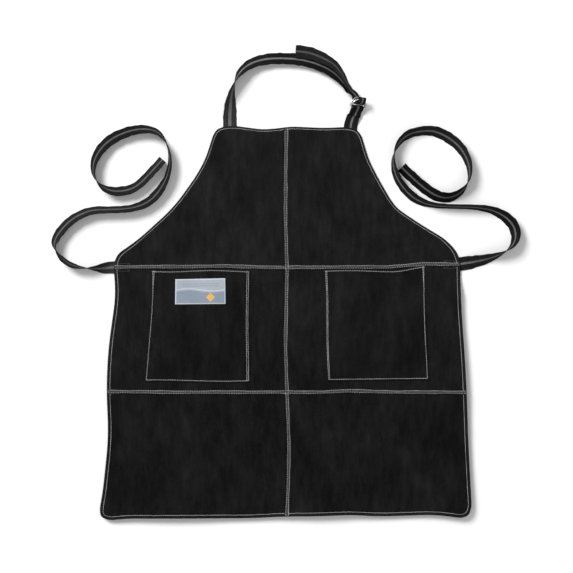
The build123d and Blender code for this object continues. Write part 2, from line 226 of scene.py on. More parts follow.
def suede(name, dark, light):
    """Black split leather: a short nap brushed in patches, with paler ridges."""
    m = Nodes(name)
    where = m.object_place()
    patches = m.noise(9, m.stretch(where, (1.6, 1.0, 1.0)), 5, 0.62)
    streaks = m.noise(34, m.stretch(where, (2.6, 0.7, 1.0)), 5, 0.7)
    nap = m.noise(420, where, 3, 0.75)
    fibres = m.noise(1500, m.stretch(where, (1.0, 0.45, 1.0)), 2, 0.7)
    tone = m.math("MULTIPLY_ADD", patches, 0.50, m.math("MULTIPLY", streaks, 0.42))
    tone = m.math("MULTIPLY_ADD", nap, 0.30, tone)
    height = m.add("ShaderNodeSeparateXYZ", {0: where}).outputs[1]
    fade = {"Value": height, "From Min": -0.25, "From Max": 0.08, "To Min": -0.075, "To Max": 0.0}
    tone = m.math("ADD", tone, m.add("ShaderNodeMapRange", fade).outputs[0])
    middle = 0.6 * dark + 0.4 * light
    colour = m.ramp(tone, [(0.44, grey(dark)), (0.60, grey(middle)), (0.78, grey(light))])
    # Paler in patches along the seams, the rim and the pocket mouths.
    paler_ridges = m.attribute("paler_ridges")
    paler_ridges = m.math("MULTIPLY", paler_ridges, m.math("MULTIPLY_ADD", nap, 2.6, -0.55))
    paler_ridges = m.math("MINIMUM", m.math("MAXIMUM", paler_ridges, 0.0), 1.0)
    colour = m.mix(paler_ridges, colour, grey(0.085))
    rough = m.math("MULTIPLY_ADD", streaks, 0.12, 0.80)
    relief = m.math("MULTIPLY_ADD", nap, 0.7, m.math("MULTIPLY", fibres, 0.45))
    fine = m.bump(relief, 0.55, 0.0006)
    m.shader.inputs["Specular IOR Level"].default_value = 0.05
    m.shader.inputs["Sheen Weight"].default_value = 0.015
    m.shader.inputs["Sheen Roughness"].default_value = 0.6
    return m.surface(colour, rough, m.bump(streaks, 0.35, 0.0025, fine))


def webbing_material():
    """Black ribbed webbing with a grey stripe woven along it. U runs across, V along in metres."""
    m = Nodes("webbing")
    uv, across, along = m.weave_place()
    offset = m.math("ABSOLUTE", m.math("SUBTRACT", across, 0.5))
    slope = m.math("MULTIPLY", m.math("MULTIPLY", offset, 14.0), math.pi)
    rib = m.math("SINE", m.math("ADD", m.math("MULTIPLY", along, 2 * math.pi / 0.0016), slope))
    cord = m.math("SINE", m.math("MULTIPLY", across, 2 * math.pi * 17))
    weave = m.math("MULTIPLY_ADD", rib, 0.5, m.math("MULTIPLY", cord, 0.5))
    fuzz = m.noise(900, m.object_place(), 3, 0.7)
    wander = m.noise(16, m.stretch(uv, (0.2, 30.0, 1.0)), 3, 0.5)
    shade = m.math("MULTIPLY_ADD", fuzz, 0.5, m.math("MULTIPLY", weave, 0.12))
    worn = m.noise(26, m.stretch(uv, (0.35, 3.0, 1.0)), 5, 0.7)
    shade = m.math("MULTIPLY_ADD", worn, 0.55, m.math("SUBTRACT", shade, 0.27))
    black = m.ramp(shade, [(0.12, grey(0.002)), (0.3, grey(0.005)), (0.5, grey(0.016))])
    pale = m.attribute("pale")
    black = m.mix(pale, black, m.ramp(shade, [(0.12, grey(0.018)), (0.5, grey(0.085))]))
    stripe_tone = m.ramp(shade, [(0.08, grey(0.07)), (0.3, grey(0.15)), (0.5, grey(0.26))])
    edge = m.math("MULTIPLY_ADD", pale, 0.06, m.math("MULTIPLY_ADD", wander, 0.06, 0.03))
    rise = m.math("SUBTRACT", offset, edge)
    rise = m.math("MAXIMUM", m.math("MULTIPLY", rise, 40.0), 0.0)
    in_stripe = m.math("SUBTRACT", 1.0, m.math("SMOOTH_MIN", rise, 1.0, 0.2))
    # The stripe attribute makes the stripe fainter; on the neck strap's tail that is painted shade.
    clear = m.attribute("stripe")
    in_stripe = m.math("MULTIPLY", m.math("MAXIMUM", in_stripe, 0.0), clear)
    colour = m.mix(in_stripe, black, stripe_tone)
    m.shader.inputs["Specular IOR Level"].default_value = 0.06
    m.shader.inputs["Sheen Weight"].default_value = 0.005
    return m.surface(colour, m.math("MULTIPLY_ADD", fuzz, 0.2, 0.62), m.bump(weave, 0.6, 0.0005))


def thread_material(name, tones):
    """Twisted sewing thread, a little soiled here and there."""
    m = Nodes(name)
    where = m.object_place()
    soil = m.noise(45, where, 4, 0.6)
    twist = m.noise(1800, where, 2, 0.6)
    tone = m.math("MULTIPLY_ADD", twist, 0.35, m.math("MULTIPLY", soil, 0.65))
    colour = m.ramp(tone, list(zip((0.35, 0.5, 0.65), map(grey, tones))))
    return m.surface(colour, m.math("MULTIPLY_ADD", soil, 0.2, 0.5), m.bump(twist, 0.4, 0.0003))


def steel_material():
    """Nickel-plated wire, polished, with fine drawing marks."""
    m = Nodes("ring_steel")
    where = m.object_place()
    marks = m.noise(700, m.stretch(where, (1.0, 1.0, 3.0)), 3, 0.6)
    colour = m.ramp(marks, [(0.3, grey(0.62)), (0.7, grey(0.82))])
    m.shader.inputs["Metallic"].default_value = 1.0
    return m.surface(colour, m.math("MULTIPLY_ADD", marks, 0.12, 0.16), m.bump(marks, 0.1, 0.0002))


def label_material():
    """A satin label: pale border, silver and blue-grey bands, two thin lines, one amber diamond."""
    m = Nodes("woven_label")
    _, x, y = m.weave_place()
    where = m.object_place()
    grain = m.noise(800, m.stretch(where, (1.0, 3.0, 1.0)), 3, 0.7)
    ribs = m.math("SINE", m.math("MULTIPLY", y, 2 * math.pi * 60))

    def inside(value, low, high):
        above = m.math("GREATER_THAN", value, low)
        return m.math("MULTIPLY", above, m.math("LESS_THAN", value, high))

    silver = m.ramp(grain, [(0.3, (0.24, 0.27, 0.31)), (0.7, (0.38, 0.42, 0.47))])
    blue = m.ramp(grain, [(0.3, (0.14, 0.18, 0.24)), (0.7, (0.24, 0.29, 0.36))])
    border = m.ramp(grain, [(0.3, (0.40, 0.43, 0.47)), (0.7, (0.52, 0.55, 0.59))])
    wave = m.math("MULTIPLY", m.math("SINE", m.math("MULTIPLY", x, 2 * math.pi)), 0.05)
    level = m.math("ADD", 0.50, wave)
    colour = m.mix(m.math("LESS_THAN", y, level), silver, blue)
    band = m.math("ABSOLUTE", m.math("SUBTRACT", y, m.math("ADD", level, 0.07)))
    colour = m.mix(m.math("LESS_THAN", band, 0.018), colour, border)
    for line in (0.72, 0.80):
        thin = m.math("LESS_THAN", m.math("ABSOLUTE", m.math("SUBTRACT", y, line)), 0.012)
        thin = m.math("MULTIPLY", thin, inside(x, 0.12, 0.88))
        colour = m.mix(thin, colour, (0.22, 0.26, 0.33, 1))
    dx = m.math("MULTIPLY", m.math("ABSOLUTE", m.math("SUBTRACT", x, 0.70)), 1.96)
    dy = m.math("ABSOLUTE", m.math("SUBTRACT", y, 0.27))
    diamond = m.math("LESS_THAN", m.math("ADD", dx, dy), 0.17)
    colour = m.mix(diamond, colour, (0.66, 0.36, 0.06, 1))
    framed = m.math("MULTIPLY", inside(x, 0.022, 0.978), inside(y, 0.045, 0.955))
    colour = m.mix(framed, border, colour)
    relief = m.math("MULTIPLY_ADD", ribs, 0.5, grain)
    m.shader.inputs["Sheen Weight"].default_value = 0.1
    return m.surface(colour, m.math("MULTIPLY_ADD", grain, 0.15, 0.42), m.bump(relief, 0.3, 0.0003))


PANEL_SUEDE = suede("panel_suede", 0.0022, 0.0150)
POCKET_SUEDE = suede("pocket_suede", 0.0020, 0.0130)
WEBBING_LOOK = webbing_material()
THREAD_LOOK = thread_material("pale_thread", (0.16, 0.30, 0.39))
DARK_THREAD = thread_material("dark_thread", (0.02, 0.035, 0.06))
STEEL = steel_material()
LABEL_LOOK = label_material()


# --- outlines read from the frame -----------------------------------------------------
def plate_outline(node, level):
    """The corner points, in order, round a CAD node's flat top at a level."""
    shape = bmesh.new()
    shape.from_mesh(frame["nodes"][node].data)
    bmesh.ops.remove_doubles(shape, verts=shape.verts, dist=1e-6)
    facing_up = [f for f in shape.faces if f.normal.z > 0.99]
    top = {f for f in facing_up if abs(f.calc_center_median().z - level) < 1e-5}
    rim = [e for e in shape.edges if sum(f in top for f in e.link_faces) == 1]
    following = {}
    for edge in rim:
        face = next(f for f in edge.link_faces if f in top)
        corners = [v.index for v in face.verts]
        a, b = edge.verts[0].index, edge.verts[1].index
        forward = (corners.index(a) + 1) % len(corners) == corners.index(b)
        following[a if forward else b] = b if forward else a
    shape.verts.ensure_lookup_table()
    loops = []
    left = set(following)
    while left:
        at = start = min(left)
        loop = []
        while at in left:
            left.discard(at)
            loop.append(shape.verts[at].co.xy.copy())
            at = following[at]
        loops.append(loop)
    shape.free()
    return np.array(max(loops, key=len), float)


def edges_of(outline):
    return np.stack([outline, np.roll(outline, -1, 0)], 1)


PANELS = {f"{tier}_panel_{side}": (tier, side) for tier in TIERS for side in SIDES}
OUTLINES = {node: plate_outline(node, PANEL_TOP) for node in PANELS}


def is_over(node, other):
    """Whether one panel lies on top where two meet: upper over lower, right over left."""
    (tier, side), (other_tier, _) = PANELS[node], PANELS[other]
    if tier != other_tier:
        return TIERS.index(tier) < TIERS.index(other_tier)
    return side == "right"


def sort_edges(node):
    """A panel's edges as rim, over and under segments."""
    kinds = {"rim": [], "over": [], "under": []}
    pieces = []
    for a, b in edges_of(OUTLINES[node]):
        steps = max(1, math.ceil(np.linalg.norm(b - a) / (20 * MM)))
        ends = [a + (b - a) * i / steps for i in range(steps + 1)]
        pieces += list(zip(ends, ends[1:]))
    middles = np.array([(a + b) / 2 for a, b in pieces])
    kind = np.full(len(pieces), "rim", dtype=object)
    for other in PANELS:
        if other != node:
            near = segments_distance(middles, edges_of(OUTLINES[other])) < TOUCHING
            kind[near] = "over" if is_over(node, other) else "under"
    for piece, name in zip(pieces, kind):
        kinds[name].append(piece)
    return kinds


EDGES = {node: sort_edges(node) for node in PANELS}
RIM = [segment for node in PANELS for segment in EDGES[node]["rim"]]


def chain(segments):
    """Segments joined end to end into polylines."""
    left = [(np.array(a), np.array(b)) for a, b in segments]
    lines = []
    while left:
        line = list(left.pop(0))
        grew = True
        while grew:
            grew = False
            for i, (a, b) in enumerate(left):
                if np.linalg.norm(a - line[-1]) < 0.5 * MM:
                    line.append(b)
                elif np.linalg.norm(b - line[0]) < 0.5 * MM:
                    line.insert(0, a)
                else:
                    continue
                left.pop(i)
                grew = True
                break
        lines.append(np.array(line))
    return lines


RIM_LINE = resample(max(chain(RIM), key=len)[:-1], 2.5 * MM, closed=True)
RIM_SEGMENTS = edges_of(RIM_LINE)

# Where the leather lies a little off the table: x, y, reach, height, in millimetres.
SWELLS = [
    (-250, -60, 90, 2.2), (300, -100, 90, 2.6), (-290, -330, 80, 2.8), (-120, -400, 90, 2.4),
    (90, -395, 80, 2.0), (290, -350, 90, 3.0), (0, -90, 90, 1.2), (-90, 170, 80, 1.6),
    (100, 190, 90, 2.0), (215, 95, 70, 2.6), (-200, 80, 80, 2.0), (30, 60, 80, 1.4), (160, -300, 90, 1.2),
    (-180, -260, 90, 1.4), (0, -300, 70, 1.0), (330, 0, 60, 2.0), (-325, -200, 60, 2.2),
    (60, 255, 60, 1.8), (-70, 262, 50, 1.6),
]
# Soft creases: x, y, direction in degrees, half length, half width, height, in millimetres.
CREASES = [
    (195, 92, 20, 70, 9, 1.3), (215, 70, 12, 60, 8, -0.9), (150, 110, 30, 50, 8, 0.8),
    (-215, -405, 3, 70, 8, 1.2), (-150, -418, -4, 60, 7, -0.8), (-250, -390, 8, 45, 8, 0.9),
    (60, -395, 2, 60, 9, 0.9), (240, -400, -5, 60, 8, 1.0), (-300, -60, 88, 70, 8, 1.0),
    (-285, -140, 93, 60, 9, -0.7), (305, -130, 92, 70, 9, 0.9), (-60, 215, 75, 60, 10, 0.8),
    (80, 230, 100, 60, 10, 0.9), (-150, 130, 50, 60, 10, 0.8), (40, -40, 85, 60, 9, 0.6),
    (-30, -110, 96, 60, 9, 0.6), (120, -330, 80, 70, 12, 0.7), (-100, -310, 100, 60, 12, 0.7),
    (270, -270, 70, 60, 11, 0.8),
]


EDGE_LIFT = 10.0                # of the stiff hem at the right side and the foot, in millimetres


def lie(points):
    """How far the leather's underside lies off the table."""
    x, y = np.asarray(points, float).T / MM
    height = np.zeros(len(x))
    for cx, cy, reach, rise in SWELLS:
        height += rise * np.exp(-((x - cx) ** 2 + (y - cy) ** 2) / reach ** 2)
    for cx, cy, turn, half, width, rise in CREASES:
        c, s = math.cos(math.radians(turn)), math.sin(math.radians(turn))
        along, across = (x - cx) * c + (y - cy) * s, -(x - cx) * s + (y - cy) * c
        across = across + 5 * np.sin(along / 23 + cx)
        height += 1.6 * rise * np.exp(-(across / width) ** 2) * bump(along, 0, half)
    height += 0.22 * np.sin(x / 31 + 1.7 * np.sin(y / 47)) * np.sin(y / 37 + 1.3 * np.sin(x / 53))
    height += 0.12 * np.sin(x / 11.5 + 2 * np.sin(y / 29)) * np.sin(y / 13.5 + 2 * np.sin(x / 31))
    right = smooth(284, 328, x + 0.03 * y) * smooth(12, -28, y) * (1 + 0.2 * np.sin(y / 41))
    foot = smooth(-392, -434, y) * (1 + 0.25 * np.sin(x / 47))
    height += EDGE_LIFT * np.maximum(right, foot)
    return np.maximum(height + 0.15, 0) * MM


# --- seams ----------------------------------------------------------------------------
def seam_line(pairs):
    """Lines along each first panel's lapping edge, where it lies over the second."""
    lines = []
    for node, other in pairs:
        over = np.array(EDGES[node]["over"])
        near = segments_distance(over.mean(axis=1), edges_of(OUTLINES[other])) < TOUCHING
        lines += chain(over[near])
    return lines


def level_seam(upper, lower):
    points = np.vstack(seam_line([(f"{upper}_panel_{s}", f"{lower}_panel_{s}") for s in SIDES]))
    points = points[np.argsort(points[:, 0])]
    keep = np.concatenate([[True], np.diff(points[:, 0]) > 1 * MM])
    return resample(points[keep] + [0, LAP], 3 * MM)


UPPER_SEAM = level_seam("bib", "waist")
LOWER_SEAM = level_seam("waist", "skirt")


def centre_seam():
    points = np.vstack(seam_line([(f"{t}_panel_right", f"{t}_panel_left") for t in TIERS]))
    points = points[np.argsort(points[:, 1])]
    x = np.full(len(points), points[:, 0].mean() + LAP)
    return resample(np.column_stack([x, points[:, 1]]), 3 * MM)


CENTRE_SEAM = centre_seam()
SEAMS = [UPPER_SEAM, LOWER_SEAM, CENTRE_SEAM]
SEAM_SEGMENTS = [np.stack([seam[:-1], seam[1:]], 1) for seam in SEAMS]


def seam_distance(points):
    return np.min([segments_distance(points, segments) for segments in SEAM_SEGMENTS], axis=0)


# How far the centre seam strays sideways: y, distance, in millimetres.
SWAY = [
    (-432, -0.2), (-365, 3.1), (-299, 3.7), (-232, 1.5), (-177, -0.9), (-110, -2.4), (-21, -0.7), (21, 0.6),
    (47, -0.7), (124, -2.4), (202, -2.2), (254, -1.1), (296, -0.6),
]


def swayed(verts):
    """Points of the leather and its stitches, moved sideways near the centre seam."""
    y, stray = np.array(SWAY).T * MM
    moved = np.array(verts, float)
    near = 1 - smooth(8 * MM, 55 * MM, np.abs(moved[:, 0] - CENTRE_SEAM[0, 0]))
    moved[:, 0] += near * np.interp(moved[:, 1], y, stray)
    return moved


# --- leather panels -------------------------------------------------------------------
def sewn_under(points):
    """1 where the end of a strap or tie is sewn under the hem, else 0."""
    inside = np.zeros(len(points))
    for node in ("neck_strap_end", "buckle_tab_end", "left_tie_end", "right_tie_end"):
        low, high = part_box(node)
        away = np.maximum(np.array(low.xy) - points, points - np.array(high.xy)).max(axis=1)
        inside = np.maximum(inside, 1 - smooth(0, 2 * MM, away))
    return inside


def hem_inset(points):
    """How far the hem's stitch row lies from the rim: a little less on the bib."""
    return HEM_ROW - 1.9 * MM * smooth(45 * MM, 95 * MM, points[:, 1])


def top_height(points, rim, over, under):
    """Height of the leather's front face, from the distances to its three kinds of edge."""
    seam = seam_distance(points)
    z = 2.8 * MM + lie(points)
    z += 0.7 * MM * bump(rim, 2.6 * MM, 3.4 * MM) * (rim < 7 * MM)
    z -= 0.45 * MM * bump(rim, hem_inset(points), 1.5 * MM)
    z += 0.35 * MM * bump(rim, 9 * MM, 3.2 * MM)
    z -= 0.35 * MM * smooth(11 * MM, 15 * MM, rim)
    z += 0.9 * MM * (1 - smooth(4 * MM, 12 * MM, over))
    z += 0.35 * MM * (1 - smooth(6 * MM, 13 * MM, seam))
    z -= 0.4 * MM * bump(seam, SEAM_ROW, 1.1 * MM)
    z -= 0.3 * MM * (1 - smooth(0.0, 3 * MM, under))
    return z


# Where the rows of points along a panel's outline lie, fine at the rim, in millimetres.
RIM_INSETS = (0.12, 0.4, 0.8, 1.3, 2.2, 3.2, 4.4, 5.2, 6.0, 6.8, 8.0, 9.5, 11.0, 12.4)


def panel_points(node):
    """The panel's outline in fine steps, rows along its rim and seams, and a grid inside them."""
    outline = []
    for a, b in edges_of(OUTLINES[node]):
        steps = max(1, round(np.linalg.norm(b - a) / (2.6 * MM)))
        outline += [a + (b - a) * i / steps for i in range(steps)]
    outline = np.array(outline)
    headings = directions(outline, closed=True)
    inward = np.stack([-headings[:, 1], headings[:, 0]], 1)
    segments = edges_of(outline)
    rows = []
    for inset in RIM_INSETS:
        row = outline + inward * inset * MM
        rows.append(row[segments_distance(row, segments) > inset * MM * 0.97])
    low, high = outline.min(0), outline.max(0)
    step_y = GRID * math.sqrt(3) / 2
    ys = np.arange(low[1] + step_y, high[1], step_y)
    xs = np.arange(low[0], high[0], GRID)
    grid = np.array([(x + GRID / 2 * (i % 2), y) for i, y in enumerate(ys) for x in xs])
    grid = grid[inside_outline(grid, outline)]
    grid = grid[segments_distance(grid, segments) > 14.2 * MM]
    return outline, np.vstack([*rows, grid])


def inside_outline(points, outline):
    """Even-odd test of many points against a polygon."""
    inside = np.zeros(len(points), bool)
    x, y = points.T
    for (x0, y0), (x1, y1) in edges_of(outline):
        crosses = (y0 > y) != (y1 > y)
        with np.errstate(divide="ignore", invalid="ignore"):
            inside ^= crosses & (x < (x1 - x0) * (y - y0) / (y1 - y0) + x0)
    return inside


def edge_distance(points, segments):
    return segments_distance(points, segments) if segments else np.full(len(points), FAR)


def leather_panel(node):
    """A sewn panel with its rim turned under, as one closed skin."""
    kinds = EDGES[node]
    outline, inner = panel_points(node)
    count = len(outline)
    flat = [Vector(p) for p in np.vstack([outline, inner])]
    border = [(i, (i + 1) % count) for i in range(count)]
    verts, _, faces, origin, _, _ = delaunay_2d_cdt(flat, border, [], 1, 1e-7)
    points = np.array([tuple(v) for v in verts])
    rim, over, under = (edge_distance(points, kinds[kind]) for kind in ("rim", "over", "under"))
    base = lie(points)
    top = top_height(points, rim, over, under)
    at_hem = 1 - smooth(11.6 * MM, 12.8 * MM, rim)
    at_hem *= 1 - sewn_under(points)
    bottom = (base + 0.02 * MM) * at_hem + (top - LEATHER) * (1 - at_hem)
    for edge, nose in ((rim, 1.5 * MM), (over, 0.7 * MM), (under, 0.4 * MM)):
        near = np.clip(edge / nose, 0, 1)
        drop = nose * (1 - np.sqrt(1 - (1 - near) ** 2))
        thick = np.maximum(top - bottom, 0.2 * MM)
        drop = np.minimum(drop, 0.48 * thick)
        top, bottom = top - drop, bottom + drop * (edge is rim)
    total = len(points)
    all_verts = np.vstack([np.column_stack([points, top]), np.column_stack([points, bottom])])
    all_faces = [tuple(f) for f in faces] + [tuple(i + total for i in reversed(f)) for f in faces]
    loop = {o[0]: i for i, o in enumerate(origin) if o and o[0] < count}
    for i in range(count):
        a, b = loop[i], loop[(i + 1) % count]
        all_faces.append((b, a, a + total, b + total))
    piece = new_mesh(node.replace("panel", "leather"), swayed(all_verts), all_faces, PANEL_SUEDE)
    outward(piece)
    seam = seam_distance(points)
    # Paler along the seams and, faintly, along the rim.
    paler_ridges = 0.7 * (1 - smooth(1.4 * MM, 3.6 * MM, seam)) + 0.10 * bump(rim, 2.5 * MM, 2.5 * MM)
    set_attribute(piece, "paler_ridges", np.concatenate([paler_ridges, paler_ridges * 0.3]))
    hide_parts(node)
    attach(piece, "apron")


def signed_area(outline):
    """A polygon's area, positive where its corners run anticlockwise."""
    x, y = outline.T
    return 0.5 * (np.dot(x, np.roll(y, -1)) - np.dot(y, np.roll(x, -1)))


for node in PANELS:
    leather_panel(node)


def leather_level(points):
    """Height of the finished apron's front face at any place on it."""
    points = np.asarray(points, float)
    rim = segments_distance(points, RIM_SEGMENTS)
    far = np.full(len(points), FAR)
    height = top_height(points, rim, far, far)
    return height + 0.45 * MM * (1 - smooth(4 * MM, 12 * MM, seam_distance(points)))


# --- pockets and label ----------------------------------------------------------------
POCKET_FLARE = {"left": 13 * MM, "right": 1.5 * MM}     # how far out the foot's outer corner lies
RIGHT_POCKET_LEAN = 5.5 * MM    # how far to the right its foot leans
POCKET_ROW = 3 * MM             # the stitch row along its sides and foot
MOUTH_ROW = 1.8 * MM            # the stitch row along its mouth
POCKET_PAIR = {"left": 6.1 * MM, "right": 4.9 * MM}     # the second row along the inner side
POCKET_NOSE = 0.6 * MM          # radius of its rounded edges
# Fine steps near its edges, in millimetres.
POCKET_STEPS = [0, 0.25, 0.7, 1.3, 2.2, 3.0, 3.8, 5.0, 6.1, 7.5]


def edge_steps(length, spacing=3.2 * MM):
    """Places along a length, fine near both ends."""
    near = np.array(POCKET_STEPS) * MM
    count = max(2, round((length - 2 * near[-1]) / spacing))
    between = np.linspace(near[-1], length - near[-1], count + 1)[1:-1]
    return np.concatenate([near, between, length - near[::-1]])


def pocket_shape(side):
    """The pocket's size, and a function from places across and down it, 0 to 1, to x and y."""
    low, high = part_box(f"{side}_pocket")
    width, height = high.x - low.x, high.y - low.y

    def place(across, down):
        left, right = low.x + 0 * down, high.x + 0 * down
        flare = POCKET_FLARE[side] * (1 - down ** 2)
        if side == "left":
            left = left + flare
        else:
            right = right - flare
        left = left + 0.8 * MM * np.sin(down * 7)
        right = right + 0.7 * MM * np.sin(down * 6 + 2)
        x = left + (right - left) * across
        mouth = 1.3 * np.cos(7 * (across - 0.62))
        foot = 1.2 * np.sin(across * 5 + 1)
        if side == "right":
            mouth = 1.1 * np.sin(6.5 * across) + 7.5 * smooth(0.66, 1.0, across)
            foot = 1.9 + 2.4 * across
            x = x + RIGHT_POCKET_LEAN * down
        y = high.y - height * down + mouth * MM * (1 - down) ** 3
        return x, y + foot * MM * down

    return place, width, height


def across_pocket(side, x, down):
    """How far across the pocket x lies, 0 to 1, at places down it."""
    place, _, _ = pocket_shape(side)
    left, right = (place(np.full_like(down, edge), down)[0] for edge in (0, 1))
    return (x - left) / (right - left)


def pocket_bulge(side, across, down, width, height):
    """How far the pocket stands off the panel, 0 at its sewn margins and most at its mouth."""
    from_side = np.minimum(across, 1 - across) * width
    from_foot = (1 - down) * height
    rise = smooth(6.5 * MM, 42 * MM, from_side) * smooth(6.5 * MM, 50 * MM, from_foot)
    body = 5.4 - 2.2 * smooth(0.0, 0.8, down)
    body = body + 0.7 * np.sin(across * 9 + down * 4) * np.sin(down * 8 + 1)
    body = body + 0.5 * np.sin(across * 21 - down * 9 + (3 if side == "left" else 1))
    from_mouth = down * height
    mouth_hem = 0.7 * (1 - smooth(5.5 * MM, 8 * MM, from_mouth))
    mouth_hem = mouth_hem - 0.5 * bump(from_mouth, MOUTH_ROW, 1.2 * MM)
    return (body * rise + mouth_hem) * MM


def pocket_level(side, across, down):
    """Points on the pocket's front face."""
    place, width, height = pocket_shape(side)
    x, y = place(across, down)
    flat = np.column_stack([np.ravel(x), np.ravel(y)])
    from_side = np.minimum(across, 1 - across) * width
    from_foot = (1 - down) * height
    edge = np.minimum(from_side, from_foot)
    inner = (1 - across if side == "left" else across) * width
    z = leather_level(flat) + LEATHER + np.ravel(pocket_bulge(side, across, down, width, height))
    groove = 0.4 * bump(edge, POCKET_ROW, 1.2 * MM)
    groove = groove + 0.4 * bump(inner, POCKET_PAIR[side], 1.2 * MM)
    z = z - np.ravel(groove) * MM + 0.25 * MM * np.ravel(bump(edge, 1.4 * MM, 1.6 * MM))
    return np.column_stack([flat, z])


def closed_sheet(top, bottom, shape):
    """Vertices and faces of a closed sheet, from the points of its front and back in rows."""
    total = len(top)
    at = np.arange(total).reshape(shape).tolist()
    faces = []
    for upper, lower in zip(at, at[1:]):
        for c in range(shape[1] - 1):
            quad = (upper[c], lower[c], lower[c + 1], upper[c + 1])
            faces += [quad, tuple(i + total for i in reversed(quad))]
    ring = at[0] + [row[-1] for row in at[1:]] + at[-1][-2::-1] + [row[0] for row in at[-2:0:-1]]
    for a, b in zip(ring, ring[1:] + ring[:1]):
        faces.append((a, b, b + total, a + total))
    return np.vstack([top, bottom]), faces


def pocket(side):
    """A patch pocket: sewn flat on three sides, standing open at its mouth."""
    _, width, height = pocket_shape(side)
    grid = np.meshgrid(edge_steps(width) / width, edge_steps(height) / height)
    across, down = grid[0].ravel(), grid[1].ravel()
    top = pocket_level(side, across, down)
    edge = np.minimum(np.minimum(across, 1 - across) * width, (1 - down) * height)
    from_mouth = down * height
    for gap in (edge, from_mouth):
        near = np.clip(gap / POCKET_NOSE, 0, 1)
        top[:, 2] -= POCKET_NOSE * (1 - np.sqrt(1 - (1 - near) ** 2))
    thick = LEATHER * (1 + 0.6 * (1 - smooth(7 * MM, 9 * MM, from_mouth)))
    panel = leather_level(top[:, :2]) + 0.03 * MM
    bottom = top.copy()
    bottom[:, 2] = np.maximum(top[:, 2] - thick, panel)
    bottom[edge < POCKET_NOSE, 2] = panel[edge < POCKET_NOSE]
    verts, faces = closed_sheet(top, bottom, grid[0].shape)
    piece = new_mesh(f"{side}_pocket_leather", verts, faces, POCKET_SUEDE)
    outward(piece)
    # Paler along the mouth and, faintly, along the sewn edges.
    worn = 0.30 * (1 - smooth(0.5 * MM, 4 * MM, from_mouth)) + 0.05 * bump(edge, 1.2 * MM, 2 * MM)
    set_attribute(piece, "paler_ridges", np.concatenate([worn, 0 * worn]))
    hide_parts(f"{side}_pocket")
    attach(piece, "apron")


LABEL_COLUMNS, LABEL_ROWS = 63, 33
LABEL_STITCHES = 2.2 * MM       # its stitch row, from its edge


def label():
    """The woven label, sewn to the left pocket."""
    low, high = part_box("label")
    wide, tall = high.x - low.x, high.y - low.y
    pocket_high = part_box("left_pocket")[1]
    _, _, height = pocket_shape("left")

    def spots(u, v):
        """Places on the apron, from shares of the label's width and of its height from the top."""
        x = low.x + wide * u + 1.2 * MM * v * (u - 0.5)
        y = high.y - tall * v + 2.0 * MM * (u - 0.5) * (1 - 0.6 * v)
        return np.column_stack([x, y])

    def on_pocket(points):
        down = (pocket_high.y - points[:, 1]) / height
        return pocket_level("left", across_pocket("left", points[:, 0], down), down)[:, 2]

    grid = np.meshgrid(np.linspace(0, 1, LABEL_COLUMNS), np.linspace(0, 1, LABEL_ROWS))
    u, v = grid[0].ravel(), grid[1].ravel()
    flat = spots(u, v)
    base = on_pocket(flat)
    edge = np.minimum(np.minimum(u, 1 - u) * wide, np.minimum(v, 1 - v) * tall)
    z = base + 0.75 * MM - 0.25 * MM * (1 - smooth(0, 1.2 * MM, edge))
    z = z - 0.2 * MM * bump(edge, LABEL_STITCHES, 0.9 * MM)
    top, bottom = np.column_stack([flat, z]), np.column_stack([flat, base + 0.05 * MM])
    verts, faces = closed_sheet(top, bottom, grid[0].shape)
    piece = new_mesh("woven_label", verts, faces, LABEL_LOOK)
    outward(piece)
    flat_uv = np.column_stack([u, 1 - v])
    weave_uv(piece, np.vstack([flat_uv, flat_uv]))
    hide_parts("label")
    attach(piece, "apron")
    du, dv = LABEL_STITCHES / wide, LABEL_STITCHES / tall
    corners = np.array([(du, dv), (1 - du, dv), (1 - du, 1 - dv), (du, 1 - dv)])
    line = resample(corners, 0.012, closed=True)
    line = np.vstack([line, line[:1]])

    def level(points):
        return on_pocket(points) + 0.45 * MM

    row = spots(line[:, 0], line[:, 1])
    stitches("label_stitches", [row], level, "label_thread", 2.6 * MM, 0.22 * MM)


def weave_uv(piece, per_vertex):
    """A UV map named weave, from one pair of values per vertex."""
    layer = piece.data.uv_layers.new(name="weave")
    corner = np.empty(len(piece.data.loops), np.int32)
    piece.data.loops.foreach_get("vertex_index", corner)
    layer.data.foreach_set("uv", np.asarray(per_vertex, np.float32)[corner].ravel())


# --- stitching ------------------------------------------------------------------------
PITCH = 4.3 * MM                # assumed: the photo is too coarse to show it
THREAD_RADIUS = 0.5 * MM
# A stitch's sections: place along its half length, share of the radius, and lift in millimetres.
GRAIN = [(-1.0, 0.60, -0.25), (-0.78, 0.85, 0.05), (-0.35, 1.0, 0.25),
         (0.35, 1.0, 0.25), (0.78, 0.85, 0.05), (1.0, 0.60, -0.25)]
SIDES_OF_THREAD = 6
unevenness = np.random.default_rng(7)


